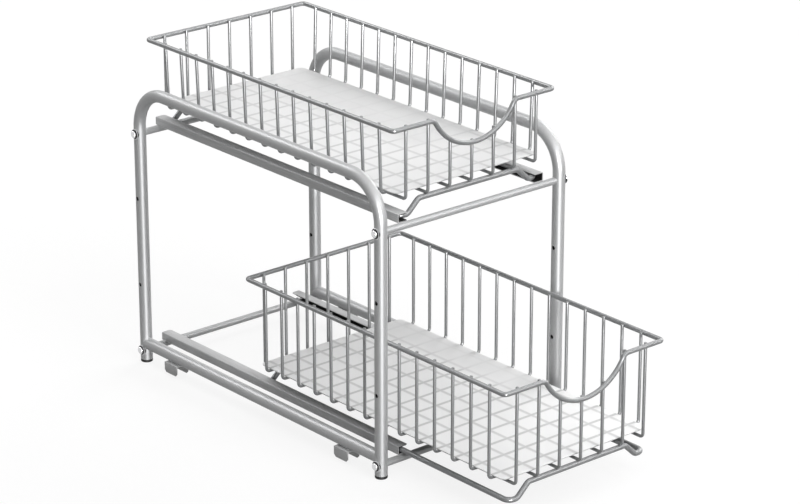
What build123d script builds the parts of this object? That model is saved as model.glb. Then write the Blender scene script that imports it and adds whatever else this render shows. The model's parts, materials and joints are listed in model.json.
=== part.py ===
from build123d import *
from math import asin, cos, pi, radians, sin, sqrt, tan
import os

# Two-tier pull-out basket for a cabinet, in millimetres.
#
# Two bent tube hoops stand left and right, joined by four thin crossbars. The crossbars carry C-section
# rails with black liners, and a closed loop of wire slides in each pair of rails and carries a basket.
#
# The model is laid out about the centre of the four legs: X to the right, the front towards -Y, Z up from
# the floor. The last section moves it so that the origin is under the middle of the whole product as it
# stands here, with the upper drawer shut and the lower one part of the way out.

# --- Frame tubes ---
leg_spacing_x = 288.0        # between the centres of the left and right legs
leg_spacing_y = 482.0        # between the centres of the front and rear legs
tube_d = 16.0
tube_wall = 1.2
hoop_rise = 61.0             # centre of a hoop's top rail, above the upper crossbars
hoop_bend_r = 52.0           # on the tube's centreline
base_tube_z = 26.0
spare_hole_heights = (110.0, 229.5)
leg_hole_d = 5.8

# --- Feet ---
foot_h = 4.0
foot_plug_h = 8.0
foot_plug_gap = 0.05         # between the plug and the inside of the leg

# --- Crossbars and their bolts ---
crossbar_d = 9.0
lower_crossbar_z = 17.0
upper_crossbar_z = 318.0
bolt_d = 5.0
bolt_head_d = 13.8
bolt_head_h = 4.5
bolt_grip = 14.0             # thread inside the crossbar's end

# --- Rails and liners ---
rail_w = 14.0
rail_h = 11.5
rail_sheet = 1.0
rail_inset = 19.0            # from the legs' inner face to the rail's web
rail_rear_overhang = 2.0     # past the rear legs' centre
rail_corner_r = 4.0          # rear corners of the flanges
rail_relief = 6.0            # the lower flange ends this far short of the rear end
nib_w = 4.0                  # tab turned down at the rear of the upper flange
nib_drop = 4.5
nib_gap = 0.7                # between the shut carriage and the tab
liner_t = 0.9
liner_end_gap = 0.5
liner_lip = 0.5              # the liner stays this far inside the flanges' edges

# --- Stacking saddles under the base tubes ---
saddle_l = 27.0
saddle_sheet = 1.2
saddle_tube_gap = 0.3        # each side of the tube that it fits over
saddle_leg_h = 12.8
saddle_corner = 3.5          # cut off the lower corners
saddle_bend_gap = 0.5        # from the saddle's end to the start of the hoop's bend

# --- Drawers: travel and carriage wire ---
travel = 330.0
lower_open = 199.0           # how far the lower drawer stands out here
shut_y = -2.2                # middle of a shut drawer, from the middle of the legs
carriage_d = 7.0
carriage_gap_z = 0.35        # above and below the wire, inside the liner
carriage_gap_x = 1.0         # beside the wire, inside the liner
carriage_rise = 16.2         # from the wire in the rails up to the runs under the basket
carriage_flat_x = 79.5       # half the length of the straight run under the basket
carriage_slope_x = 17.5      # sideways reach of the slope down to the rails
carriage_setback = 0.5       # of the runs, behind the start of the floor wires' bends
carriage_corner_r = 9.0
carriage_bend_r = 8.0
stop_rib_t = 1.8
stop_rib_l = 6.0
stop_gap = 2.2               # from the straight front of the wire to the rib, at full travel

# --- Baskets ---
basket_side_gap = 5.0        # from the rim to the legs
rim_d = 6.0
rim_overhang = 1.75          # past the legs' centres at each end, were the drawer in the middle
rim_corner_r = 5.0
upper_depth = 92.6           # from the rim's centre down to the underside of the floor wires
lower_depth = 124.3
upper_lean = 3.0             # how far the upper basket's long sides close in towards the floor
lower_lean = 0.0
scoop_depth = 40.0           # the dip in the front of the rim
scoop_r = 72.0
scoop_shoulder_r = 10.0
wire_d = 4.0
wire_bend_r = 5.0
wire_tip = 0.9               # the wires' ends stay this far below the top of the rim
cross_wire_count = 14
cross_wire_margin = 31.8     # from the rim's ends to the first wire
long_wire_count = 7
long_wire_margin = 23.7      # from the rim's sides to the first wire
mat_t = 1.5
mat_side_gap = 0.4
mat_end_gap = 5.0
mat_corner_r = 8.0

# --- How finely bends and round sections are drawn ---
hoop_span_count = 4          # straight spans in a quarter turn
rim_span_count = 3
carriage_span_count = 2
wire_span_count = 2
scoop_span_count = 6
round_side_count = 12        # flats round the rims, carriages, crossbars and the tubes' bores
foot_side_count = 24
bolt_side_count = 8
wire_side_count = 6

# --- Places that follow from these sizes ---
leg_x = leg_spacing_x / 2
leg_y = leg_spacing_y / 2
hoop_top_z = upper_crossbar_z + hoop_rise
tube_r = tube_d / 2
bore_r = tube_r - tube_wall
leg_inner_x = leg_x - tube_r
wire_r = wire_d / 2
rim_r = rim_d / 2
carriage_r = carriage_d / 2

rail_web_x = leg_inner_x - rail_inset            # outer face of the web
rail_lip_x = rail_web_x - rail_w                 # inner edges of the flanges
rail_front_y = -leg_y
rail_rear_y = leg_y + rail_rear_overhang
carriage_x = rail_web_x - rail_sheet - liner_t - carriage_gap_x - carriage_r

rim_x = leg_inner_x - basket_side_gap - rim_r
rim_y = leg_y + rim_overhang
wire_x = rim_x - rim_r - wire_r                  # cross wires' uprights, at the rim
wire_y = rim_y - rim_r - wire_r                  # long wires' uprights
carriage_y = wire_y - wire_bend_r - carriage_setback
nib_y = shut_y + carriage_y + carriage_r + nib_gap              # front face of the tab
stop_y = shut_y + carriage_y - carriage_r - travel - stop_gap   # rear face of the stop rib

scoop_rise = scoop_r - scoop_depth               # centre of the dip's arc, above the rim
shoulder_x = sqrt((scoop_r + scoop_shoulder_r) ** 2 - (scoop_rise + scoop_shoulder_r) ** 2)
scoop_angle = asin(shoulder_x / (scoop_r + scoop_shoulder_r))


def rail_height(crossbar_z):
    """Centre height of the rails that lie on the crossbars at this height."""
    return crossbar_z + crossbar_d / 2 + rail_h / 2


def floor_height(crossbar_z):
    """Underside of a basket's floor wires, where they lie on the carriage."""
    return rail_height(crossbar_z) + carriage_rise + carriage_r


def rim_height(crossbar_z, depth):
    return floor_height(crossbar_z) + depth


# --- Bent wire and tube ---


def bent(corners, radius, spans):
    """Centreline points of a wire bent at each inner corner, with the bends drawn in straight spans."""
    points = [Vector(*corners[0])]
    for before, corner, after in zip(corners, corners[1:], corners[2:]):
        here = Vector(*corner)
        back = (Vector(*before) - here).normalized()
        ahead = (Vector(*after) - here).normalized()
        half_angle = radians(back.get_angle(ahead)) / 2
        start = here + back * (radius / tan(half_angle))
        centre = here + (back + ahead).normalized() * (radius / sin(half_angle))
        turn = pi - 2 * half_angle
        for step in range(spans + 1):
            angle = turn * step / spans
            points.append(centre + (start - centre) * cos(angle) - back * (radius * sin(angle)))
    points.append(Vector(*corners[-1]))
    return points


def wire(points, diameter, sides, closed=False):
    """A wire along the points, with flats around it and mitres at the joints."""
    if closed:
        points = [*points, points[0]]
    ways = [(after - before).normalized() for before, after in zip(points, points[1:])]
    ends = (ways[-1] + ways[0],) * 2 if closed else (ways[0], ways[-1])
    mitres = [ends[0], *(before + after for before, after in zip(ways, ways[1:])), ends[1]]
    start = Plane(origin=points[0], z_dir=ways[0])
    turns = [2 * pi * side / sides for side in range(sides)]
    radius = diameter / 2
    ring = [start.from_local_coords((radius * cos(turn), radius * sin(turn), 0)) for turn in turns]
    rings = []
    for point, way, mitre in zip(points, [ways[0], *ways], mitres):
        reach = way.dot(mitre)
        ring = [corner + way * ((point - corner).dot(mitre) / reach) for corner in ring]
        rings.append(ring)
    if closed:
        rings[-1] = rings[0]
    outlines = [] if closed else [rings[0], rings[-1]]
    for near, far in zip(rings, rings[1:]):
        outlines += [[near[i - 1], near[i], far[i], far[i - 1]] for i in range(sides)]
    return Solid(Shell([Face(Wire.make_polygon(outline)) for outline in outlines]))


def ring_wire(right, diameter):
    """A closed ring of wire from the points of its right half, which starts and ends on the middle plane."""
    left = [Vector(-point.X, point.Y, point.Z) for point in right[-2:0:-1]]
    return wire(right + left, diameter, round_side_count, closed=True)


def on_both_sides(name, right):
    """The piece and its mirror image, as right_NAME and left_NAME."""
    return {f"right_{name}": right, f"left_{name}": mirror(right, about=Plane.YZ)}


# --- Frame ---


def tube_outside():
    return Circle(tube_r)


def tube_bore(gap=0.0):
    """The tubes' bore, drawn with flats because it shows only at the holes."""
    return RegularPolygon(bore_r - gap, round_side_count)


def along_hoop(section):
    """The solid that a section makes along the right-hand hoop, from leg end to leg end."""
    corner_y = leg_y - hoop_bend_r
    corner_z = hoop_top_z - hoop_bend_r
    stations = [((leg_x, -leg_y, foot_h), (0, 0, 1))]
    for side in (-1, 1):
        for step in range(hoop_span_count + 1):
            angle = pi / 2 * (step / hoop_span_count if side < 0 else 1 - step / hoop_span_count)
            y = side * (corner_y + hoop_bend_r * cos(angle))
            z = corner_z + hoop_bend_r * sin(angle)
            stations.append(((leg_x, y, z), (0, sin(angle), -side * cos(angle))))
    stations.append(((leg_x, leg_y, foot_h), (0, 0, -1)))
    rings = [Plane(origin=place, x_dir=(1, 0, 0), z_dir=way) * section for place, way in stations]
    return loft(rings, ruled=True)


def leg_hole(y, z):
    """Cutter for a hole through both walls of the right-hand legs."""
    across = Plane(origin=(leg_x - tube_d, y, z), x_dir=(0, 1, 0), z_dir=(1, 0, 0))
    return extrude(across * RegularPolygon(leg_hole_d / 2, bolt_side_count), 2 * tube_d)


def right_hoop():
    hoop = along_hoop(tube_outside()) - along_hoop(tube_bore())
    for y in (-leg_y, leg_y):
        for z in (lower_crossbar_z, *spare_hole_heights, upper_crossbar_z):
            hoop -= leg_hole(y, z)
    return hoop


def legs_outside(x):
    """The legs' outer cylinders on one side, for coping what is welded against them."""
    upright = Cylinder(tube_r, hoop_top_z, align=(Align.CENTER, Align.CENTER, Align.MIN))
    return Pos(x, -leg_y, 0) * upright + Pos(x, leg_y, 0) * upright


def right_base_tube():
    along = Plane(origin=(leg_x, -leg_y, base_tube_z), z_dir=(0, 1, 0))
    tube = extrude(along * (tube_outside() - tube_bore()), leg_spacing_y)
    return tube - legs_outside(leg_x)


def crossbar(y, z):
    """Round bar between two legs, its ends coped to them and tapped for the bolts."""
    bar = wire([Vector(-leg_x, y, z), Vector(leg_x, y, z)], crossbar_d, round_side_count)
    bar -= legs_outside(leg_x) + legs_outside(-leg_x)
    for side in (-1, 1):
        bar -= bolt(side, y, z)
    return bar


def bolt(side, y, z):
    """Dome head bolt from outside the leg into the crossbar. side is 1 on the right, -1 on the left."""
    seat = Plane(origin=(side * (leg_x + tube_r), y, z), x_dir=(0, 1, 0), z_dir=(side, 0, 0))
    length = tube_d + bolt_grip
    shank = extrude(seat * RegularPolygon(bolt_d / 2, bolt_side_count), -length)
    dome = ((0.0, 1.0), (0.3, 1.0), (0.75, 0.78), (1.0, 0.42))   # height and radius, as shares of the head's
    rings = [
        seat.offset(bolt_head_h * height) * RegularPolygon(bolt_head_d / 2 * share, bolt_side_count)
        for height, share in dome
    ]
    return shank + loft(rings, ruled=True)


def foot(x, y):
    """Black cap under a leg, with a plug up inside the tube."""
    cap = extrude(Pos(x, y, 0) * RegularPolygon(tube_r, foot_side_count), foot_h)
    plug = extrude(Pos(x, y, 0) * tube_bore(foot_plug_gap), foot_h + foot_plug_h)
    return cap + plug


def right_saddle(y):
    """Inverted channel under the base tube, which drops over the hoop of a unit below."""
    top_z = base_tube_z - tube_r
    inner_w = tube_d + 2 * saddle_tube_gap
    total_h = saddle_leg_h + saddle_sheet
    block = Pos(leg_x, y, top_z - total_h / 2) * Box(inner_w + 2 * saddle_sheet, saddle_l, total_h)
    corners = block.edges().filter_by(Axis.X).group_by(Axis.Z)[0]
    block = chamfer(corners, saddle_corner)
    slot = Pos(leg_x, y, top_z - saddle_sheet - total_h / 2) * Box(inner_w, 2 * saddle_l, total_h)
    return block - slot


def right_rail(crossbar_z):
    """C-section rail, open towards the middle, lying on the front and rear crossbars."""
    z = rail_height(crossbar_z)
    length = rail_rear_y - rail_front_y
    middle_x = (rail_web_x + rail_lip_x) / 2
    middle_y = (rail_rear_y + rail_front_y) / 2
    rail = Pos(middle_x, middle_y, z) * Box(rail_w, length, rail_h)
    lip_corners = rail.edges().filter_by(Axis.Z).filter_by(lambda e: e.center().X < middle_x)
    rail = fillet(lip_corners.filter_by(lambda e: e.center().Y > 0), rail_corner_r)
    inside = Pos(middle_x - rail_sheet, middle_y, z) * Box(rail_w, 2 * length, rail_h - 2 * rail_sheet)
    relief = Box(2 * rail_w, rail_relief, rail_sheet, align=(Align.CENTER, Align.MAX, Align.MIN))
    rail -= inside + Pos(middle_x, rail_rear_y, z - rail_h / 2) * relief
    nib = Box(nib_w, rail_sheet, nib_drop, align=(Align.MIN, Align.MIN, Align.MAX))
    return rail + Pos(rail_lip_x + rail_corner_r, nib_y, z + rail_h / 2) * nib


def right_rail_liner(crossbar_z):
    """Black slide strip inside the rail, with the rib that stops the drawer at full travel."""
    z = rail_height(crossbar_z)
    inner_h = carriage_d + 2 * carriage_gap_z
    outer_x = rail_web_x - rail_sheet
    inner_x = rail_lip_x + liner_lip
    front_y = rail_front_y + liner_end_gap
    rear_y = nib_y - liner_end_gap
    width, length = outer_x - inner_x, rear_y - front_y
    place = Pos((outer_x + inner_x) / 2, (rear_y + front_y) / 2, z)
    liner = place * Box(width, length, rail_h - 2 * rail_sheet)
    liner -= place * Pos(-liner_t, 0, 0) * Box(width, 2 * length, inner_h)
    rib = Box(stop_rib_t, stop_rib_l, inner_h, align=(Align.MIN, Align.MAX, Align.CENTER))
    return liner + Pos(inner_x, stop_y, z) * rib


# --- Baskets ---


def scoop_drop(x):
    """How far the rim's front dips below its straight line at x."""
    x = abs(x)
    if x < scoop_r * sin(scoop_angle):
        return sqrt(scoop_r**2 - x**2) - scoop_rise
    if x < shoulder_x:
        return scoop_shoulder_r - sqrt(scoop_shoulder_r**2 - (shoulder_x - x) ** 2)
    return 0.0


def rim(z):
    """Closed rim wire with the dip in its front."""
    front = []
    for step in range(scoop_span_count + 1):
        angle = scoop_angle * step / scoop_span_count
        x = scoop_r * sin(angle)
        front.append(Vector(x, -rim_y, z + scoop_rise - scoop_r * cos(angle)))
    for step in range(1, rim_span_count):
        angle = scoop_angle * (1 - step / rim_span_count)
        x = shoulder_x - scoop_shoulder_r * sin(angle)
        front.append(Vector(x, -rim_y, z - scoop_shoulder_r * (1 - cos(angle))))
    corners = [(shoulder_x, -rim_y, z), (rim_x, -rim_y, z), (rim_x, rim_y, z), (0, rim_y, z)]
    return ring_wire(front + bent(corners, rim_corner_r, rim_span_count), rim_d)


def spread(count, half_length):
    """Evenly spaced places from -half_length to half_length."""
    return [half_length * (2 * i / (count - 1) - 1) for i in range(count)]


def long_wires(rim_z, depth):
    """U-shaped wires that run front to rear, with front ends that follow the dip in the rim."""
    floor_z = rim_z - depth + wire_r
    tip_z = rim_z + rim_r - wire_tip
    wires = []
    for x in spread(long_wire_count, rim_x - long_wire_margin):
        front_tip = (x, -wire_y, tip_z - scoop_drop(x))
        rear_tip = (x, wire_y, tip_z)
        corners = [front_tip, (x, -wire_y, floor_z), (x, wire_y, floor_z), rear_tip]
        wires.append(wire(bent(corners, wire_bend_r, wire_span_count), wire_d, wire_side_count))
    return Compound(wires)


def cross_floor_z(rim_z, depth):
    """Centre height of the cross wires' floor runs, which lie on the long wires."""
    return rim_z - depth + wire_d + wire_r


def cross_wires(rim_z, depth, lean):
    """U-shaped wires that run side to side, on top of the long wires."""
    floor_z = cross_floor_z(rim_z, depth)
    tip_z = rim_z + rim_r - wire_tip
    foot_x = wire_x - lean
    wires = []
    for y in spread(cross_wire_count, rim_y - cross_wire_margin):
        corners = [(-wire_x, y, tip_z), (-foot_x, y, floor_z), (foot_x, y, floor_z), (wire_x, y, tip_z)]
        wires.append(wire(bent(corners, wire_bend_r, wire_span_count), wire_d, wire_side_count))
    return Compound(wires)


def mat(rim_z, depth, lean):
    """Frosted sheet that lies on the cross wires."""
    half_x = wire_x - lean - wire_bend_r - mat_side_gap
    half_y = wire_y - wire_r - mat_end_gap
    bottom = Plane(origin=(0, 0, cross_floor_z(rim_z, depth) + wire_r))
    return extrude(bottom * RectangleRounded(2 * half_x, 2 * half_y, mat_corner_r), mat_t)


def carriage(crossbar_z):
    """Closed loop of wire: its sides slide in the rails, its ends rise to carry the basket."""
    rail_z = rail_height(crossbar_z)
    run_z = rail_z + carriage_rise
    slope_end_x = carriage_flat_x + carriage_slope_x
    points = []
    for y in (-carriage_y, carriage_y):
        run_middle = (0, y, run_z)
        run_end = (carriage_flat_x, y, run_z)
        slope_end = (slope_end_x, y, rail_z)
        corner = (carriage_x, y, rail_z)
        rail_middle = (carriage_x, 0, rail_z)
        slope = bent([run_middle, run_end, slope_end, corner], carriage_bend_r, carriage_span_count)[:-1]
        turn = bent([slope_end, corner, rail_middle], carriage_corner_r, carriage_span_count)[1:-1]
        points += slope + turn if y < 0 else turn[::-1] + slope[::-1]
    return ring_wire(points, carriage_d)


def drawer(name, crossbar_z, depth, lean, pulled_out):
    """The pieces of one drawer, pulled out by this much."""
    rim_z = rim_height(crossbar_z, depth)
    pieces = {
        "basket_rim": rim(rim_z),
        "cross_wires": cross_wires(rim_z, depth, lean),
        "long_wires": long_wires(rim_z, depth),
        "floor_mat": mat(rim_z, depth, lean),
        "carriage_wire": carriage(crossbar_z),
    }
    place = Pos(0, shut_y - pulled_out, 0)
    return {f"{name}_{piece}": place * shape for piece, shape in pieces.items()}


# --- The whole product ---

nodes = {}
nodes |= on_both_sides("hoop", right_hoop())
nodes |= on_both_sides("base_tube", right_base_tube())
bolts = []
for level, crossbar_z in (("lower", lower_crossbar_z), ("upper", upper_crossbar_z)):
    for end, y in (("front", -leg_y), ("rear", leg_y)):
        nodes[f"{level}_{end}_crossbar"] = crossbar(y, crossbar_z)
        bolts += [bolt(side, y, crossbar_z) for side in (-1, 1)]
    for side, rail in on_both_sides("rail", right_rail(crossbar_z)).items():
        nodes[f"{level}_{side}"] = rail
    for side, liner in on_both_sides("rail_liner", right_rail_liner(crossbar_z)).items():
        nodes[f"{level}_{side}"] = liner
nodes["crossbar_bolts"] = Compound(bolts)
saddle_y = leg_y - hoop_bend_r - saddle_bend_gap - saddle_l / 2
for end, way in (("front", -1), ("rear", 1)):
    nodes |= on_both_sides(f"{end}_foot", foot(leg_x, way * leg_y))
    nodes |= on_both_sides(f"{end}_saddle", right_saddle(way * saddle_y))
nodes |= drawer("upper", upper_crossbar_z, upper_depth, upper_lean, 0)
nodes |= drawer("lower", lower_crossbar_z, lower_depth, lower_lean, lower_open)

front_reach = shut_y - lower_open - rim_y - rim_r
rear_reach = leg_y + tube_r
to_origin = Pos(0, -(front_reach + rear_reach) / 2, 0)

os.makedirs("parts", exist_ok=True)
for name, shape in nodes.items():
    export_step(to_origin * shape, f"parts/{name}.step")
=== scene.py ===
import json
from math import acos, asin, cos, pi, radians, sin, sqrt, tan

import bmesh
import bpy
from mathutils import Matrix, Vector


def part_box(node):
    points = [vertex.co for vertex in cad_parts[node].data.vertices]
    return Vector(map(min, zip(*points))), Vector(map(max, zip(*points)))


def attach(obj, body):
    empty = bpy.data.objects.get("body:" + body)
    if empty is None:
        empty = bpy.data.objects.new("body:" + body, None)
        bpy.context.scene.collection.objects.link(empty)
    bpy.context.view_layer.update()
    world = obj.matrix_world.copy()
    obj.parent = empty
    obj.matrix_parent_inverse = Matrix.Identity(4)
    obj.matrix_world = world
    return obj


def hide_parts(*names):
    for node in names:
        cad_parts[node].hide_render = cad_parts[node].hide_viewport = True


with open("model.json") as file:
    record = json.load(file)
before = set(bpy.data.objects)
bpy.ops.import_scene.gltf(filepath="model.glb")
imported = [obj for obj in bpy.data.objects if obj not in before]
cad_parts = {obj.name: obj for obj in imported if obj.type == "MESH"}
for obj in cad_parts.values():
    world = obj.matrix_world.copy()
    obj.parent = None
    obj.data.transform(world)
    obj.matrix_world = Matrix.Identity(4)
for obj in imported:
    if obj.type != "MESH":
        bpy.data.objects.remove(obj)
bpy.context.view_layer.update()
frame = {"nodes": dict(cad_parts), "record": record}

# Looks of the two-tier pull-out basket, in metres, in the same frame as its CAD part.
#
# The tubes, bars, wires, bolts and feet of the CAD model have flats round them, so each is replaced by a
# smooth piece of the same size in the same place. The rails, saddles and mats are copies of the CAD
# meshes with rounded edges, and the rail liners are shown as the CAD has them. The bolts also get a thin
# flange, and black rings painted as the shade under and round their heads, which the CAD leaves out.
# The hoops' bare bores are coloured nearly black as painted shade. The mats' back right parts are painted
# darker as shade, and the lower mat is painted lighter against the upper basket's shade on it.

mm = 0.001

# --- Sizes that the CAD has too ---
tube_wall = 1.2 * mm
hoop_bend_r = 52.0 * mm
leg_hole_r = 2.9 * mm
spare_hole_heights = (110.0 * mm, 229.5 * mm)
crossbar_r = 4.5 * mm
crossbar_heights = {"lower": 17.0 * mm, "upper": 318.0 * mm}
bolt_head_r = 6.9 * mm
bolt_head_h = 4.5 * mm
carriage_r = 3.5 * mm
carriage_corner_r = 9.0 * mm
carriage_bend_r = 8.0 * mm
carriage_flat_x = 79.5 * mm          # half the length of the straight run under the basket
carriage_slope_x = 17.5 * mm         # sideways reach of the slope down to the rails
carriage_setback = 0.5 * mm          # of the straight runs, inwards from the long wires' bends
wire_r = 2.0 * mm
wire_bend_r = 5.0 * mm
wire_end_drop = 0.9 * mm             # from the top of the rim down to the wires' ends
cross_wire_count = 14
cross_wire_margin = 31.8 * mm        # from the rim's centreline to the first and the last cross wire
long_wire_count = 7
long_wire_margin = 23.7 * mm         # the same for the long wires
basket_lean = {"lower": 0.0, "upper": 3.0 * mm}    # of the cross wires, inwards at the foot
rim_r = 3.0 * mm
rim_corner_r = 5.0 * mm
scoop_depth = 40.0 * mm
scoop_r = 72.0 * mm
scoop_shoulder_r = 10.0 * mm

# The dip's arc is centred above the rim, and meets its shoulders at this angle from straight down.
scoop_rise = scoop_r - scoop_depth
shoulder_x = sqrt((scoop_r + scoop_shoulder_r) ** 2 - (scoop_rise + scoop_shoulder_r) ** 2)
scoop_angle = asin(shoulder_x / (scoop_r + scoop_shoulder_r))

# --- Sizes of what only the look has ---
bore_skin = 0.1 * mm                 # thickness of the bare metal inside a hoop, coloured nearly black as painted shade
wire_end_round = 0.6 * mm            # of the edge at a wire's end
foot_edge_r = 1.2 * mm
foot_flat_inset = 2.6 * mm           # of the foot's flat middle, from its side
plug_gap = 0.05 * mm                 # round the foot's plug in the leg
rail_edge_r = 0.22 * mm
rail_fold_r = 1.3 * mm
saddle_edge_r = 0.3 * mm
mat_edge_r = 0.3 * mm
sharp_angle = 40                     # degrees between two faces, above which their edge looks sharp
rounded_sharp_angle = 60             # the same for pieces whose edges are rounded

# A bolt's heights count from the outer side of the leg.
shank_r = 2.4 * mm
shank_l = 16.0 * mm
flange_h = 0.8 * mm
flange_bevel = 0.3 * mm
flange_back_bevel = 0.4 * mm
dome_shade_seat_r = 6.2 * mm             # round recess in the flange, for the black ring of painted shade round the dome
dome_shade_seat_h = 0.5 * mm
dome_shade_side_h = 0.9 * mm             # top of the straight side of the black ring round the dome
dome_r = 4.7 * mm
dome_overhang = 0.4 * mm             # of the dome past its neck
dome_start_h = 2.4 * mm
# The black ring under the flange is painted shadow, for the gap between the head and the round leg.
under_head_shade_r = 5.8 * mm
under_head_shade_depth = 3.9 * mm              # how far it reaches inwards beside the round leg
seat_gap = 0.05 * mm                 # between the black rings and the steel

# --- Flats round each form, and steps along the dip ---
tube_sides = 48
crossbar_sides = 32
hole_sides = 32
bolt_sides = 40
foot_sides = 48
loop_sides = 28                      # rims and carriage wires
wire_sides = 20
dome_steps = 8
dip_steps = 24
shoulder_steps = 8

# --- Places read from the frame ---
hoop_low, hoop_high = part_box("right_hoop")
tube_r = (hoop_high.x - hoop_low.x) / 2
leg_x = (hoop_high.x + hoop_low.x) / 2
middle_y = (hoop_high.y + hoop_low.y) / 2
leg_y = (hoop_high.y - hoop_low.y) / 2 - tube_r
hoop_top_z = hoop_high.z - tube_r
foot_top_z = hoop_low.z
base_low, base_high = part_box("right_base_tube")
base_tube_z = (base_low.z + base_high.z) / 2


# --- Meshes ---


def new_object(name, verts, faces):
    """A mesh object in the scene, still without a finish."""
    mesh = bpy.data.meshes.new(name)
    mesh.from_pydata([tuple(v) for v in verts], [], faces)
    obj = bpy.data.objects.new(name, mesh)
    bpy.context.scene.collection.objects.link(obj)
    return obj


def new_piece(name, verts, faces, body, slot, replaced):
    """A finished mesh object that rides on a body and stands for CAD nodes."""
    obj = new_object(name, verts, faces)
    obj.data.validate()
    finish_piece(obj, body, slot, replaced)


def finish_piece(obj, body, slot, replaced, sharp_above=sharp_angle, look=None):
    """Smooth shading, finish and ties to the frame. look names the material where it isn't the slot's."""
    obj.data.shade_smooth()
    obj.data.set_sharp_from_angle(angle=radians(sharp_above))
    obj.data.materials.clear()
    obj.data.materials.append(materials[look or slot])
    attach(obj, body)
    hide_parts(*replaced)


def rounded(corners, radius, step=9.0):
    """Points along a line bent at each inner corner, with arcs in steps of about this many degrees."""
    points = [Vector(corners[0])]
    for before, corner, after in zip(corners, corners[1:], corners[2:]):
        here = Vector(corner)
        back = (Vector(before) - here).normalized()
        ahead = (Vector(after) - here).normalized()
        half_angle = acos(max(-1.0, min(1.0, back.dot(ahead)))) / 2
        turn = pi - 2 * half_angle
        start = here + back * (radius / tan(half_angle))
        centre = here + (back + ahead).normalized() * (radius / sin(half_angle))
        count = max(2, round(turn / radians(step)))
        for i in range(count + 1):
            angle = turn * i / count
            points.append(centre + (start - centre) * cos(angle) - back * (radius * sin(angle)))
    points.append(Vector(corners[-1]))
    return points


def swept(path, radius, sides, closed=False, tip=0.0):
    """Vertices and faces of a round bar along a path. tip rounds the ends over this length."""
    path = [Vector(p) for p in path]
    ways = path_ways(path, closed)
    rings = []
    for i, (u, v) in enumerate(section_axes(ways, closed)):
        stretch, inward = mitre_stretch(path, ways, i, closed)
        ring = []
        for k in range(sides):
            angle = 2 * pi * k / sides
            offset = u * cos(angle) + v * sin(angle)
            offset = offset + inward * offset.dot(inward) * (stretch - 1)
            ring.append(path[i] + offset * radius)
        rings.append(ring)
    if tip:
        rings = tipped(rings, path, ways, radius, tip)
    verts = [point for ring in rings for point in ring]
    faces = side_faces(len(rings), sides, closed)
    if not closed:
        faces.append(tuple(range(sides))[::-1])
        faces.append(tuple(range(len(verts) - sides, len(verts))))
    return verts, faces


def path_ways(path, closed):
    """The direction of a path at each of its points, halfway between its two spans there."""
    count = len(path)
    ways = []
    for i in range(count):
        before = path[i - 1] if closed or i else path[i]
        after = path[(i + 1) % count] if closed or i < count - 1 else path[i]
        ways.append(((path[i] - before).normalized() + (after - path[i]).normalized()).normalized())
    return ways


def section_axes(ways, closed):
    """Two axes across the path at each point, turned as little as the path allows.

    A closed path's last section has to meet its first, so the turn that is left is spread along it.
    """
    side = ways[0].orthogonal().normalized()
    axes = []
    for i, way in enumerate(ways):
        if i:
            side = ways[i - 1].rotation_difference(way) @ side
        side = (side - way * side.dot(way)).normalized()
        axes.append((side, way.cross(side)))
    if not closed:
        return axes
    last = ways[-1].rotation_difference(ways[0]) @ axes[-1][0]
    twist = axes[0][0].angle(last)
    if axes[0][1].dot(last) > 0:
        twist = -twist
    turned = []
    for i, (u, v) in enumerate(axes):
        turn = twist * i / len(axes)
        turned.append((u * cos(turn) + v * sin(turn), v * cos(turn) - u * sin(turn)))
    return turned


def mitre_stretch(path, ways, i, closed):
    """How much a mitred section widens in a bend, and towards which side."""
    if not closed and i in (0, len(path) - 1):
        return 1.0, Vector()
    chord = (path[(i + 1) % len(path)] - path[i]).normalized()
    bend = chord - ways[i] * chord.dot(ways[i])
    if bend.length < 1e-6:
        return 1.0, Vector()
    return 1 / chord.dot(ways[i]), bend.normalized()


def side_faces(ring_count, sides, closed=False):
    """Faces between rings of vertices that follow each other."""
    faces = []
    for i in range(ring_count if closed else ring_count - 1):
        near, far = i * sides, (i + 1) % ring_count * sides
        for k in range(sides):
            n = (k + 1) % sides
            faces.append((near + k, near + n, far + n, far + k))
    return faces


def tipped(rings, path, ways, radius, tip):
    """The rings with small rounded edges added at both ends."""

    def end_rings(ring, centre, outward):
        """The rounded edge's rings, from the bar's side to its end."""
        found = []
        for angle in (30, 60, 85):
            shrink = 1 - tip / radius * (1 - cos(radians(angle)))
            shift = outward * (tip * sin(radians(angle)) - tip)
            found.append([centre + (p - centre) * shrink + shift for p in ring])
        return found

    first = end_rings(rings[0], path[0], -ways[0])
    last = end_rings(rings[-1], path[-1], ways[-1])
    start = [p + ways[0] * tip for p in rings[0]]
    end = [p - ways[-1] * tip for p in rings[-1]]
    return first[::-1] + [start] + rings[1:-1] + [end] + last


def merged(parts):
    """One list of vertices and faces from several."""
    verts, faces = [], []
    for part_verts, part_faces in parts:
        base = len(verts)
        verts += part_verts
        faces += [tuple(base + i for i in face) for face in part_faces]
    return verts, faces


def revolved(profile, centre, axis, sides):
    """A turned solid. The profile lists (distance along the axis, radius), from end to end."""
    axis = Vector(axis).normalized()
    u = axis.orthogonal().normalized()
    v = axis.cross(u)
    verts = []
    for along, radius in profile:
        for k in range(sides):
            angle = 2 * pi * k / sides
            verts.append(Vector(centre) + axis * along + (u * cos(angle) + v * sin(angle)) * radius)
    faces = side_faces(len(profile), sides)
    faces.append(tuple(range(sides))[::-1])
    faces.append(tuple(range(len(verts) - sides, len(verts))))
    return verts, faces


def arc_profile(centre_along, centre_radius, radius, start, end, count=6):
    """Profile points on an arc. Angles are in degrees from the axis direction."""
    points = []
    for i in range(count + 1):
        angle = radians(start + (end - start) * i / count)
        points.append((centre_along + radius * cos(angle), centre_radius + radius * sin(angle)))
    return points


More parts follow.
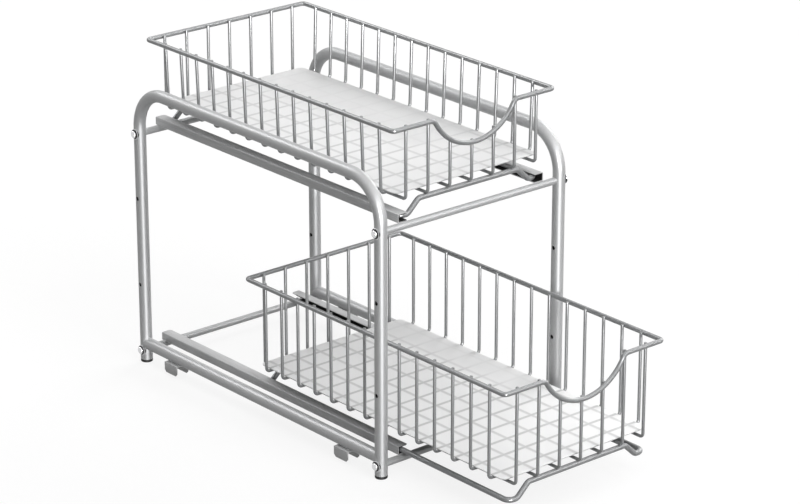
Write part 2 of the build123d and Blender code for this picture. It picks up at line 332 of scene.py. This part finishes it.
def tube_mesh(path, outer_r, inner_r):
    """Vertices and faces of a round tube along a path, open at both ends."""
    outer, outer_faces = swept(path, outer_r, tube_sides)
    inner, inner_faces = swept(path, inner_r, tube_sides)
    verts, faces = merged([(outer, outer_faces[:-2]), (inner, [f[::-1] for f in inner_faces[:-2]])])
    inside = len(outer)
    last = inside - tube_sides
    for k in range(tube_sides):
        n = (k + 1) % tube_sides
        faces.append((k, inside + k, inside + n, n))
        faces.append((last + k, last + n, inside + last + n, inside + last + k))
    return verts, faces


# --- Material nodes ---


def node_material(name):
    """A material with its shader wired to the output."""
    material = bpy.data.materials.new(name)
    material.use_nodes = True
    tree = material.node_tree
    tree.nodes.clear()
    shader = tree.nodes.new("ShaderNodeBsdfPrincipled")
    output = tree.nodes.new("ShaderNodeOutputMaterial")
    tree.links.new(shader.outputs["BSDF"], output.inputs["Surface"])
    return material, tree, shader


def object_noise(tree, scale, detail, stretch=(1.0, 1.0, 1.0)):
    """Noise in object space. A larger stretch makes it longer that way."""
    place = tree.nodes.new("ShaderNodeTexCoord")
    mapping = tree.nodes.new("ShaderNodeMapping")
    mapping.inputs["Scale"].default_value = [1 / s for s in stretch]
    noise = tree.nodes.new("ShaderNodeTexNoise")
    noise.inputs["Scale"].default_value = scale
    noise.inputs["Detail"].default_value = detail
    tree.links.new(place.outputs["Object"], mapping.inputs["Vector"])
    tree.links.new(mapping.outputs["Vector"], noise.inputs["Vector"])
    return noise.outputs["Fac"]


def ranged(tree, value, low, high, start=0.3, end=0.7):
    """A value from start to end spread over another range, with soft ends."""
    node = tree.nodes.new("ShaderNodeMapRange")
    node.interpolation_type = "SMOOTHSTEP"
    node.inputs["From Min"].default_value = start
    node.inputs["From Max"].default_value = end
    node.inputs["To Min"].default_value = low
    node.inputs["To Max"].default_value = high
    tree.links.new(value, node.inputs["Value"])
    return node.outputs["Result"]


def worked_out(tree, operation, *values):
    """A math node. Each value is a number or another node's output."""
    node = tree.nodes.new("ShaderNodeMath")
    node.operation = operation
    for socket, value in zip(node.inputs, values):
        if isinstance(value, (int, float)):
            socket.default_value = value
        else:
            tree.links.new(value, socket)
    return node.outputs[0]


def blended(tree, value, first, second):
    """A colour between two, by a 0 to 1 value."""
    mix = tree.nodes.new("ShaderNodeMix")
    mix.data_type = "RGBA"
    tree.links.new(value, mix.inputs["Factor"])
    mix.inputs["A"].default_value = (*first, 1)
    mix.inputs["B"].default_value = (*second, 1)
    return mix.outputs["Result"]


def mottled(tree, value, tone, spread):
    """The tone, a little darker and lighter by a noise value."""
    dark = [c * (1 - spread) for c in tone]
    light = [min(1.0, c * (1 + spread)) for c in tone]
    return blended(tree, ranged(tree, value, 0.0, 1.0), dark, light)


def bumped(tree, shader, height, strength, distance):
    """Fine relief on the surface."""
    bump = tree.nodes.new("ShaderNodeBump")
    bump.inputs["Strength"].default_value = strength
    bump.inputs["Distance"].default_value = distance
    tree.links.new(height, bump.inputs["Height"])
    tree.links.new(bump.outputs["Normal"], shader.inputs["Normal"])


# --- Materials ---

paint_specular = 0.5
paint_edge_tint = (0.25, 0.25, 0.25)
rolled_stretch = (1.0, 25.0, 1.0)    # of the noise along X, Y and Z
brushed_stretch = (6.0, 1.0, 1.0)
# Both sheets are one material; the lower one's plain tone is lighter as painted light, against the upper
# basket's shade on it.
mat_tones_with_painted_light = {                        # the plain sheet, and the sheet over a wire
    "upper": ((0.82,) * 3, (0.62,) * 3),
    "lower": ((0.92,) * 3, (0.61,) * 3),
}
cross_line = (1.1 * mm, 2.4 * mm)    # half width of a wire's line, and width of the blur beside it
long_line = (0.7 * mm, 3.4 * mm)
long_line_strength = 0.8             # a cross wire touches the sheet, and its line has 1
# The sheets' back right parts are painted darker as shade, and the wires' lines fade there.
shade_from_left = 1.7                # start of the painted shade, where the lines fade, in wall heights
shade_from_front = 1.5
shade_fade = 20.0 * mm               # before and after that start
shade_line_loss = 0.85               # share of a line that is missing there
painted_shade_grey = 0.3                     # share of a line's grey painted over all of it as shade
mat_cloudiness = 0.25


def paint(name, tone, roughness, metallic, streaks=False):
    """Satin silver powder coat with fine orange peel, and faint streaks along Y on rolled sheet."""
    material, tree, shader = node_material(name)
    stretch = rolled_stretch if streaks else (1.0, 1.0, 1.0)
    mottle = object_noise(tree, scale=900.0, detail=4.0, stretch=stretch)
    peel = object_noise(tree, scale=2200.0, detail=2.0)
    spread = 0.07 if streaks else 0.04
    tree.links.new(mottled(tree, mottle, tone, spread), shader.inputs["Base Color"])
    tree.links.new(ranged(tree, peel, roughness - 0.03, roughness + 0.03), shader.inputs["Roughness"])
    shader.inputs["Metallic"].default_value = metallic
    shader.inputs["Specular IOR Level"].default_value = paint_specular
    shader.inputs["Specular Tint"].default_value = (*paint_edge_tint, 1)
    bumped(tree, shader, peel, strength=0.05, distance=0.05 * mm)
    return material


def plated_steel(name, tone, roughness):
    """Bare or plated steel with faint brushing."""
    material, tree, shader = node_material(name)
    brushing = object_noise(tree, scale=1500.0, detail=3.0, stretch=brushed_stretch)
    tree.links.new(mottled(tree, brushing, tone, 0.08), shader.inputs["Base Color"])
    tree.links.new(ranged(tree, brushing, roughness - 0.03, roughness + 0.05), shader.inputs["Roughness"])
    shader.inputs["Metallic"].default_value = 1.0
    bumped(tree, shader, brushing, strength=0.04, distance=0.05 * mm)
    return material


def black_plastic(name, tone, roughness, grain):
    """Moulded black plastic or rubber with a fine grain."""
    material, tree, shader = node_material(name)
    cells = object_noise(tree, scale=grain, detail=4.0)
    tree.links.new(mottled(tree, cells, tone, 0.4), shader.inputs["Base Color"])
    tree.links.new(ranged(tree, cells, roughness - 0.08, roughness + 0.08), shader.inputs["Roughness"])
    shader.inputs["Specular IOR Level"].default_value = 0.2
    bumped(tree, shader, cells, strength=0.25, distance=0.1 * mm)
    return material


def wires_behind(tree, along, middle, half_length, count, half_width, blur):
    """1 where one of the evenly spaced wires lies behind the sheet, fading to 0 beside it."""
    pitch = 2 * half_length / (count - 1)
    from_first = worked_out(tree, "SUBTRACT", along, middle - half_length)
    steps = worked_out(tree, "DIVIDE", from_first, pitch)
    off_step = worked_out(tree, "SUBTRACT", steps, worked_out(tree, "ROUND", steps))
    from_wire = worked_out(tree, "ABSOLUTE", off_step)
    return ranged(tree, from_wire, 1.0, 0.0, half_width / pitch, (half_width + blur) / pitch)


def back_shade_part(tree, x, y, tier):
    """1 in the sheet's back right part, where the wires under it hardly show, fading to 0 before it.

    That part is painted darker as shade.
    """
    low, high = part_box(f"{tier}_basket_rim")
    wall_h = high.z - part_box(f"{tier}_floor_mat")[1].z
    start_x = low.x + shade_from_left * wall_h
    start_y = low.y + shade_from_front * wall_h
    behind_x = ranged(tree, x, 0.0, 1.0, start_x - shade_fade, start_x + shade_fade)
    behind_y = ranged(tree, y, 0.0, 1.0, start_y - shade_fade, start_y + shade_fade)
    return worked_out(tree, "MULTIPLY", behind_x, behind_y)


def frosted_sheet(name, tier):
    """Thin frosted sheet: the wires that it lies on show through it as soft grey lines.

    Its back right part is painted darker as shade.
    """
    material, tree, shader = node_material(name)
    rim_low, rim_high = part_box(f"{tier}_basket_rim")
    rim_middle_y = (rim_low.y + rim_high.y) / 2
    cross_reach = (rim_high.y - rim_low.y) / 2 - rim_r - cross_wire_margin
    long_reach = (rim_high.x - rim_low.x) / 2 - rim_r - long_wire_margin
    place = tree.nodes.new("ShaderNodeTexCoord")
    split = tree.nodes.new("ShaderNodeSeparateXYZ")
    tree.links.new(place.outputs["Object"], split.inputs["Vector"])
    x, y = split.outputs["X"], split.outputs["Y"]
    cross = wires_behind(tree, y, rim_middle_y, cross_reach, cross_wire_count, *cross_line)
    long = wires_behind(tree, x, 0.0, long_reach, long_wire_count, *long_line)
    wires = worked_out(tree, "MAXIMUM", cross, worked_out(tree, "MULTIPLY", long, long_line_strength))
    back_shade = back_shade_part(tree, x, y, tier)
    # Painted shade: the back right part is greyed, and its lines fade.
    line_share = worked_out(tree, "MULTIPLY_ADD", back_shade, -shade_line_loss, 1.0)
    lines = worked_out(tree, "MULTIPLY", wires, line_share)
    greyed = worked_out(tree, "MULTIPLY_ADD", back_shade, painted_shade_grey, lines)
    frost = object_noise(tree, scale=900.0, detail=5.0)
    cloud = object_noise(tree, scale=30.0, detail=3.0)
    cloud_swing = worked_out(tree, "SUBTRACT", cloud, 0.5)
    shade = worked_out(tree, "MULTIPLY_ADD", cloud_swing, mat_cloudiness, greyed)
    tree.links.new(blended(tree, shade, *mat_tones_with_painted_light[tier]), shader.inputs["Base Color"])
    tree.links.new(ranged(tree, frost, 0.42, 0.58), shader.inputs["Roughness"])
    shader.inputs["Specular IOR Level"].default_value = 0.3
    bumped(tree, shader, frost, strength=0.1, distance=0.05 * mm)
    return material


materials = {
    "frame_paint": paint("frame_paint", (0.53, 0.535, 0.54), roughness=0.42, metallic=0.18),
    "rail_paint": paint("rail_paint", (0.61, 0.613, 0.616), roughness=0.45, metallic=0.10, streaks=True),
    "wire_paint": paint("wire_paint", (0.34, 0.345, 0.35), roughness=0.29, metallic=0.16),
    "bolt_steel": plated_steel("bolt_steel", (0.62, 0.62, 0.63), roughness=0.10),
    # Bare steel inside the hoops, made nearly black as painted shade inside the tubes.
    "bore_painted_dark": plated_steel("bore_painted_dark", (0.03, 0.029, 0.028), roughness=0.6),
    "black_nylon": black_plastic("black_nylon", (0.012, 0.012, 0.012), roughness=0.5, grain=900.0),
    "black_rubber": black_plastic("black_rubber", (0.016, 0.016, 0.016), roughness=0.6, grain=1200.0),
    "upper_mat": frosted_sheet("upper_mat", "upper"),
    "lower_mat": frosted_sheet("lower_mat", "lower"),
}


# --- Frame pieces ---


def drill(obj, places):
    """Cuts the legs' round holes along X through the piece."""
    reach = 2 * tube_r
    rod = [(-reach, leg_hole_r), (reach, leg_hole_r)]
    rods = [revolved(rod, place, (1, 0, 0), hole_sides) for place in places]
    cutter = new_object("cutter", *merged(rods))
    cut = obj.modifiers.new("holes", "BOOLEAN")
    cut.operation = "DIFFERENCE"
    cut.solver = "EXACT"
    cut.object = cutter
    apply_modifiers(obj)
    bpy.data.objects.remove(cutter)


def apply_modifiers(obj):
    """Bakes the object's modifiers into its mesh."""
    bpy.context.view_layer.update()
    depsgraph = bpy.context.evaluated_depsgraph_get()
    baked = bpy.data.meshes.new_from_object(obj.evaluated_get(depsgraph))
    obj.modifiers.clear()
    obj.data = baked


def hoop_path(side):
    """Centreline of a hoop, from the bottom of the front leg to the bottom of the rear leg."""
    x = side * leg_x
    front, rear = middle_y - leg_y, middle_y + leg_y
    front_leg = [(x, front, foot_top_z), (x, front, hoop_top_z)]
    rear_leg = [(x, rear, hoop_top_z), (x, rear, foot_top_z)]
    return rounded(front_leg + rear_leg, hoop_bend_r, step=4.0)


def make_hoop(node, side):
    """Painted tube, and its bare bore, coloured nearly black as the painted shade that shows in the
    holes.
    """
    heights = (*crossbar_heights.values(), *spare_hole_heights)
    places = [(side * leg_x, middle_y + way * leg_y, z) for way in (-1, 1) for z in heights]
    path = hoop_path(side)
    bore_r = tube_r - tube_wall
    skin_r = bore_r + bore_skin
    for part, outer_r, inner_r, look in (
        ("tube", tube_r, skin_r, "frame_paint"),
        ("bore", skin_r, bore_r, "bore_painted_dark"),
    ):
        obj = new_object(f"{node}_{part}", *tube_mesh(path, outer_r, inner_r))
        drill(obj, places)
        finish_piece(obj, "frame", "frame_paint", [node], look=look)


def leg_reach(across):
    """How far a leg's round side lies from its axis along one direction, at this place across it."""
    return sqrt(max(0.0, tube_r**2 - across**2))


def make_base_tube(node, side):
    """Round tube between a hoop's legs, with ends that follow the legs' round sides."""
    x = side * leg_x
    path = [(x, middle_y + way * leg_y, base_tube_z) for way in (-1, 0, 1)]
    verts, faces = tube_mesh(path, tube_r, tube_r - tube_wall)
    for v in verts:
        if abs(v.y - middle_y) > leg_y / 2:
            reach = leg_y - leg_reach(v.x - x)
            v.y = middle_y + (reach if v.y > middle_y else -reach)
    new_piece(f"{node}_round", verts, faces, "frame", "frame_paint", [node])


def make_crossbar(tier, end):
    """Round bar between the hoops, with ends that follow the legs' round sides."""
    y = middle_y + (-leg_y if end == "front" else leg_y)
    z = crossbar_heights[tier]
    verts, faces = swept([(-leg_x, y, z), (0, y, z), (leg_x, y, z)], crossbar_r, crossbar_sides)
    for v in verts:
        if abs(v.x) > leg_x / 2:
            reach = leg_x - leg_reach(v.y - y)
            v.x = reach if v.x > 0 else -reach
    node = f"{tier}_{end}_crossbar"
    new_piece(f"{node}_bar", verts, faces, "frame", "frame_paint", [node])


def bolt_head(seat, way):
    """Dome over a thin flange, and the shank down to the crossbar's end."""
    face_r = bolt_head_r - flange_bevel
    neck_r = dome_r - dome_overhang
    profile = [(-shank_l, shank_r), (0, shank_r), (0, face_r), (flange_back_bevel, bolt_head_r)]
    profile += [(flange_h - flange_bevel, bolt_head_r), (flange_h, face_r), (flange_h, dome_shade_seat_r)]
    profile += [(dome_shade_seat_h, dome_shade_seat_r), (dome_shade_seat_h, neck_r)]
    profile += [(dome_start_h, neck_r), (dome_start_h, dome_r)]
    for i in range(1, dome_steps + 1):
        angle = radians(90 * (1 - i / (dome_steps + 0.5)))
        height = dome_start_h + (bolt_head_h - dome_start_h) * cos(angle)
        profile.append((height, dome_r * sin(angle)))
    return revolved(profile, seat, way, bolt_sides)


def bolt_shade_rings(seat, way):
    """Black rings of painted shade, in the gap under the flange and in the groove round the dome.

    The first lies between the flange and the round leg, the second between flange and dome.
    """
    under_head_shade_bore_r = shank_r + 2 * seat_gap
    under_head_shade = [(-under_head_shade_depth, under_head_shade_bore_r), (-under_head_shade_depth, under_head_shade_r)]
    under_head_shade += [(-seat_gap, under_head_shade_r), (-seat_gap, under_head_shade_bore_r)]
    dome_shade_low = dome_shade_seat_h + seat_gap
    dome_shade_r = dome_shade_seat_r + seat_gap
    dome_shade = [(dome_shade_low, dome_r - dome_overhang + 2 * seat_gap), (dome_shade_low, dome_shade_r)]
    dome_shade += [(dome_shade_side_h, dome_shade_r), (dome_start_h - seat_gap, dome_r - seat_gap)]
    return merged([revolved(profile, seat, way, bolt_sides) for profile in (under_head_shade, dome_shade)])


def make_bolts():
    """A bolt at both ends of each crossbar, on the outer sides of the legs."""
    heads, shade_ring_parts = [], []
    for z in crossbar_heights.values():
        for end in (-1, 1):
            for side in (-1, 1):
                seat = (side * (leg_x + tube_r), middle_y + end * leg_y, z)
                way = (side, 0, 0)
                heads.append(bolt_head(seat, way))
                shade_ring_parts.append(bolt_shade_rings(seat, way))
    new_piece("bolt_heads", *merged(heads), "frame", "bolt_steel", ["crossbar_bolts"])
    # Black rings painted as shade under and round the bolt heads, in the black nylon slot.
    new_piece("bolt_painted_shade_rings", *merged(shade_ring_parts), "frame", "black_nylon", ["crossbar_bolts"])


def make_foot(node):
    """Rubber cap with a rounded lower edge, and its plug in the leg."""
    low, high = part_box(node)
    centre = ((low.x + high.x) / 2, (low.y + high.y) / 2, 0)
    plug_r = tube_r - tube_wall - plug_gap
    profile = [(0, tube_r - foot_flat_inset)]
    profile += arc_profile(foot_edge_r, tube_r - foot_edge_r, foot_edge_r, 180, 90)
    profile += [(foot_top_z, tube_r), (foot_top_z, plug_r), (high.z, plug_r)]
    verts, faces = revolved(profile, centre, (0, 0, 1), foot_sides)
    new_piece(f"{node}_cap", verts, faces, "frame", "black_rubber", [node])


def softened(node, body, slot, edge_r, fold_r=None, is_fold=None, look=None):
    """A copy of a CAD sheet piece with its edges rounded, and its folds rounded more."""
    source = frame["nodes"][node]
    obj = bpy.data.objects.new(f"{node}_sheet", source.data.copy())
    bpy.context.scene.collection.objects.link(obj)
    mesh = bmesh.new()
    mesh.from_mesh(obj.data)
    bmesh.ops.remove_doubles(mesh, verts=mesh.verts, dist=0.005 * mm)
    bmesh.ops.dissolve_limit(mesh, angle_limit=radians(1), verts=mesh.verts, edges=mesh.edges)
    if is_fold:
        folds = [e for e in mesh.edges if is_fold(e)]
        bmesh.ops.bevel(mesh, geom=folds, offset=fold_r, segments=4, profile=0.5, affect="EDGES")
    shared = [e for e in mesh.edges if len(e.link_faces) == 2]
    sharp = [e for e in shared if e.calc_face_angle() > radians(sharp_angle)]
    bmesh.ops.bevel(
        mesh, geom=sharp, offset=edge_r, segments=2, profile=0.5, affect="EDGES", clamp_overlap=True
    )
    mesh.to_mesh(obj.data)
    mesh.free()
    finish_piece(obj, body, slot, [node], sharp_above=rounded_sharp_angle, look=look)


def fold_tester(node):
    """Gives a test for a rail's outer folds, which run along Y at the web's corners."""
    low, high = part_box(node)
    web_x = high.x if low.x + high.x > 0 else low.x
    near = 0.01 * mm

    def is_fold(edge):
        a, b = edge.verts[0].co, edge.verts[1].co
        along_y = abs((b - a).normalized().y) > 0.99
        at_web = abs(a.x - web_x) < near and abs(b.x - web_x) < near
        at_flange = min(abs(a.z - low.z), abs(a.z - high.z)) < near
        return along_y and at_web and at_flange

    return is_fold


def make_frame():
    """All that stands still."""
    make_hoop("left_hoop", -1)
    make_hoop("right_hoop", 1)
    make_base_tube("left_base_tube", -1)
    make_base_tube("right_base_tube", 1)
    for tier in crossbar_heights:
        for end in ("front", "rear"):
            make_crossbar(tier, end)
        for side in ("left", "right"):
            node = f"{tier}_{side}_rail"
            softened(node, "frame", "rail_paint", rail_edge_r, rail_fold_r, fold_tester(node))
    make_bolts()
    for end in ("front", "rear"):
        for side in ("left", "right"):
            make_foot(f"{side}_{end}_foot")
            softened(f"{side}_{end}_saddle", "frame", "rail_paint", saddle_edge_r)


# --- Drawer pieces ---


def scoop_drop(x):
    """How far the front of the rim dips at x."""
    x = abs(x)
    if x < scoop_r * sin(scoop_angle):
        return sqrt(scoop_r**2 - x**2) - scoop_rise
    if x < shoulder_x:
        return scoop_shoulder_r - sqrt(scoop_shoulder_r**2 - (shoulder_x - x) ** 2)
    return 0.0


class Basket:
    """Places in one basket, read from its CAD nodes."""

    def __init__(self, tier):
        self.tier = tier
        self.body = f"{tier}_drawer"
        low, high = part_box(f"{tier}_basket_rim")
        self.middle_y = (low.y + high.y) / 2
        self.rim_x = high.x - rim_r
        self.rim_y = (high.y - low.y) / 2 - rim_r
        self.rim_z = high.z - rim_r
        self.cross_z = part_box(f"{tier}_floor_mat")[0].z - wire_r
        self.long_z = self.cross_z - 2 * wire_r
        self.wire_x = self.rim_x - rim_r - wire_r
        self.wire_y = self.rim_y - rim_r - wire_r
        self.foot_x = self.wire_x - basket_lean[tier]
        self.wire_end_z = self.rim_z + rim_r - wire_end_drop
        carriage_low, carriage_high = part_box(f"{tier}_carriage_wire")
        self.rail_z = carriage_low.z + carriage_r
        self.run_z = self.long_z - wire_r - carriage_r
        self.carriage_x = carriage_high.x - carriage_r
        self.carriage_y = self.wire_y - wire_bend_r - carriage_setback


def evenly_spaced(count, half_length):
    """Places on both sides of the middle, the outer ones at half_length."""
    return [half_length * (2 * i / (count - 1) - 1) for i in range(count)]


def other_half(right):
    """The left half that closes a loop: the right half's points without its ends, mirrored, backwards."""
    return [Vector((-p.x, p.y, p.z)) for p in right[-2:0:-1]]


def make_rim(basket):
    """Closed ring of wire with the dip in its front."""
    x, y = basket.rim_x, basket.rim_y
    right = []
    for i in range(dip_steps):
        angle = scoop_angle * i / dip_steps
        right.append(Vector((scoop_r * sin(angle), -y, scoop_rise - scoop_r * cos(angle))))
    for i in range(shoulder_steps + 1):
        angle = scoop_angle * (1 - i / shoulder_steps)
        across = shoulder_x - scoop_shoulder_r * sin(angle)
        right.append(Vector((across, -y, -scoop_shoulder_r * (1 - cos(angle)))))
    right += rounded([(shoulder_x, -y, 0), (x, -y, 0), (x, y, 0), (0, y, 0)], rim_corner_r)[1:]
    path = [p + Vector((0, basket.middle_y, basket.rim_z)) for p in right + other_half(right)]
    verts, faces = swept(path, rim_r, loop_sides, closed=True)
    node = f"{basket.tier}_basket_rim"
    new_piece(f"{node}_wire", verts, faces, basket.body, "wire_paint", [node])


def bent_wires(basket, node, corner_lists):
    """Wires with rounded ends, as one piece."""
    parts = []
    for corners in corner_lists:
        parts.append(swept(rounded(corners, wire_bend_r), wire_r, wire_sides, tip=wire_end_round))
    new_piece(f"{node}_round", *merged(parts), basket.body, "wire_paint", [node])


def make_long_wires(basket):
    """Wires that run front to rear. Their front ends follow the dip."""
    front, rear = basket.middle_y - basket.wire_y, basket.middle_y + basket.wire_y
    corner_lists = []
    for x in evenly_spaced(long_wire_count, basket.rim_x - long_wire_margin):
        front_wall = [(x, front, basket.wire_end_z - scoop_drop(x)), (x, front, basket.long_z)]
        rear_wall = [(x, rear, basket.long_z), (x, rear, basket.wire_end_z)]
        corner_lists.append(front_wall + rear_wall)
    bent_wires(basket, f"{basket.tier}_long_wires", corner_lists)


def make_cross_wires(basket):
    """Wires that run left to right, on top of the long ones."""
    corner_lists = []
    for place in evenly_spaced(cross_wire_count, basket.rim_y - cross_wire_margin):
        y = basket.middle_y + place
        left_wall = [(-basket.wire_x, y, basket.wire_end_z), (-basket.foot_x, y, basket.cross_z)]
        right_wall = [(basket.foot_x, y, basket.cross_z), (basket.wire_x, y, basket.wire_end_z)]
        corner_lists.append(left_wall + right_wall)
    bent_wires(basket, f"{basket.tier}_cross_wires", corner_lists)


def make_carriage(basket):
    """Closed loop of wire. Its ends rise to carry the basket, and its sides run in the rails."""
    side_x, run_z, rail_z = basket.carriage_x, basket.run_z, basket.rail_z
    slope_x = carriage_flat_x + carriage_slope_x
    right = []
    for way in (-1, 1):
        y = basket.middle_y + way * basket.carriage_y
        run_middle, run_end = (0, y, run_z), (carriage_flat_x, y, run_z)
        slope_end, corner = (slope_x, y, rail_z), (side_x, y, rail_z)
        slope = rounded([run_middle, run_end, slope_end, corner], carriage_bend_r)[:-1]
        turn = rounded([slope_end, corner, (side_x, basket.middle_y, rail_z)], carriage_corner_r)[1:-1]
        right += slope + turn if way < 0 else turn[::-1] + slope[::-1]
    verts, faces = swept(right + other_half(right), carriage_r, loop_sides, closed=True)
    node = f"{basket.tier}_carriage_wire"
    new_piece(f"{node}_loop", verts, faces, basket.body, "wire_paint", [node])


def make_drawer(tier):
    """All that slides in one tier."""
    basket = Basket(tier)
    make_rim(basket)
    make_long_wires(basket)
    make_cross_wires(basket)
    make_carriage(basket)
    softened(f"{tier}_floor_mat", basket.body, "frosted_mat", mat_edge_r, look=f"{tier}_mat")


def dress_cad_nodes():
    """Gives every CAD node its finish, which shows on those that no piece stands for."""
    slots = {s["node"]: s["material_slot"] for s in frame["record"]["subparts"]}
    for name, obj in frame["nodes"].items():
        tier = name.split("_")[0]
        look = f"{tier}_mat" if slots[name] == "frosted_mat" else slots[name]
        obj.data.materials.clear()
        obj.data.materials.append(materials[look])
        obj.data.shade_smooth()
        obj.data.set_sharp_from_angle(angle=radians(sharp_angle))


# --- Floor, light and camera ---

floor_reach = 30.0                   # metres from the middle to each side
floor_lit = 0.14                     # share of light that the floor sends back
floor_glow = 0.86                    # its own white, where it is seen
world_light = 0.17                   # strength of the white surroundings as light
sun_distance = 3.0                   # only places the lamp, as a sun is as strong from anywhere
camera_way = Vector((0.60647, 0.71128, -0.35536))
camera_target = Vector((34.78 * mm, middle_y - 66.38 * mm, 198.62 * mm))
camera_distance = 3939.5 * mm
camera_lens = 139.80
light_target = Vector((0, middle_y, 200.0 * mm))


def background_ray(tree):
    """1 for the rays that see the white background: from the camera, off gloss or through clear parts."""
    path = tree.nodes.new("ShaderNodeLightPath")
    seen = path.outputs["Is Camera Ray"]
    for ray in ("Is Glossy Ray", "Is Transmission Ray"):
        seen = worked_out(tree, "MAXIMUM", seen, path.outputs[ray])
    return seen


def make_floor():
    """White floor: part of its white is its own, so the object's shadow on it stays pale."""
    corners = [(x * floor_reach, y * floor_reach, 0) for x, y in ((-1, -1), (1, -1), (1, 1), (-1, 1))]
    floor = new_object("floor", corners, [(0, 1, 2, 3)])
    material, tree, shader = node_material("floor_white")
    seen = background_ray(tree)
    grain = object_noise(tree, scale=60.0, detail=2.0)
    tree.links.new(mottled(tree, grain, (floor_lit,) * 3, 0.01), shader.inputs["Base Color"])
    shader.inputs["Roughness"].default_value = 0.9
    shader.inputs["Specular IOR Level"].default_value = 0.0
    shader.inputs["Emission Color"].default_value = (1, 1, 1, 1)
    tree.links.new(worked_out(tree, "MULTIPLY", seen, floor_glow), shader.inputs["Emission Strength"])
    floor.data.materials.append(material)


def make_world():
    """White where it is seen, and dimmer as light on the object."""
    world = bpy.data.worlds.new("studio")
    world.use_nodes = True
    bpy.context.scene.world = world
    tree = world.node_tree
    background = tree.nodes["Background"]
    background.inputs["Color"].default_value = (1, 1, 1, 1)
    strength = ranged(tree, background_ray(tree), world_light, 1.0, 0.0, 1.0)
    tree.links.new(strength, background.inputs["Strength"])


def make_camera():
    """The photo's view."""
    data = bpy.data.cameras.new("camera")
    data.sensor_width = 36.0
    data.sensor_fit = "HORIZONTAL"
    data.lens = camera_lens
    data.clip_end = 100.0
    camera = bpy.data.objects.new("camera", data)
    camera.location = camera_target - camera_way.normalized() * camera_distance
    camera.rotation_euler = camera_way.to_track_quat("-Z", "Y").to_euler()
    bpy.context.scene.collection.objects.link(camera)
    bpy.context.scene.camera = camera


def sun(name, turn, elevation, strength, spread, only_gloss=False):
    """Even light from one direction. only_gloss leaves just its reflections.

    turn counts to the right of the camera. It, the elevation and the spread are in degrees.
    """
    outward = Vector((-camera_way.x, -camera_way.y, 0)).normalized()
    outward.rotate(Matrix.Rotation(radians(turn), 3, "Z"))
    outward = outward * cos(radians(elevation)) + Vector((0, 0, sin(radians(elevation))))
    light = bpy.data.lights.new(name, "SUN")
    light.energy = strength
    light.angle = radians(spread)
    lamp = bpy.data.objects.new(name, light)
    lamp.location = light_target + outward * sun_distance
    lamp.rotation_euler = (-outward).to_track_quat("-Z", "Y").to_euler()
    lamp.visible_camera = False
    lamp.visible_diffuse = not only_gloss
    lamp.visible_transmission = not only_gloss
    bpy.context.scene.collection.objects.link(lamp)


def make_lights():
    """Soft light from above, from the front right and from behind.

    The last is low enough to reach the lower basket's floor. Three more lights only draw the round bars'
    highlights.
    """
    sun("top", turn=20, elevation=76, strength=1.15, spread=70)
    sun("key", turn=45, elevation=36, strength=1.32, spread=35)
    sun("back", turn=140, elevation=28, strength=2.0, spread=40)
    sun("leg_sheen", turn=17, elevation=4, strength=13.8, spread=8, only_gloss=True)
    sun("bar_sheen", turn=79, elevation=25, strength=1.0, spread=20, only_gloss=True)
    sun("top_sheen", turn=-128, elevation=43, strength=1.3, spread=25, only_gloss=True)


make_frame()
make_drawer("upper")
make_drawer("lower")
dress_cad_nodes()
make_floor()
make_world()
make_camera()
make_lights()
bpy.context.scene.view_settings.view_transform = "Standard"
